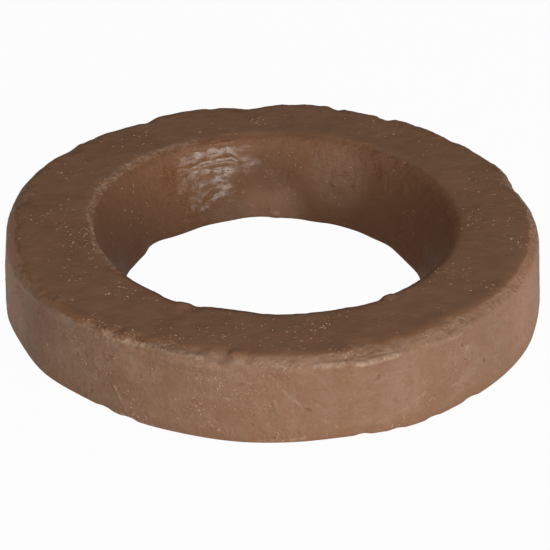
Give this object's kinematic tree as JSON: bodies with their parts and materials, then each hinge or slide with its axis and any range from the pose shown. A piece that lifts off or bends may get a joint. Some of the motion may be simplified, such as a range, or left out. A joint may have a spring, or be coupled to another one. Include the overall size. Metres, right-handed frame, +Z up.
{
  "type": "toilet pan seal",
  "caption": "One-piece ring of soft brown wax with a funnel bore that seals a toilet pan outlet to a soil pipe flange.",
  "frame": {"origin": "middle of the flat underside, on the ring's axis", "axes": "+Z up along the axis of the ring, from the underside to the wide mouth of the bore; the ring is round about it, so +X and +Y have no meaning of their own"},
  "size_m": [0.1393, 0.1395, 0.0225],
  "materials": {
    "wax": "soft brown wax, semi-matt with a faint sheen on pressed edges"
  },
  "bodies": {
    "root": {"wax_ring": "wax"}
  },
  "joints": []
}
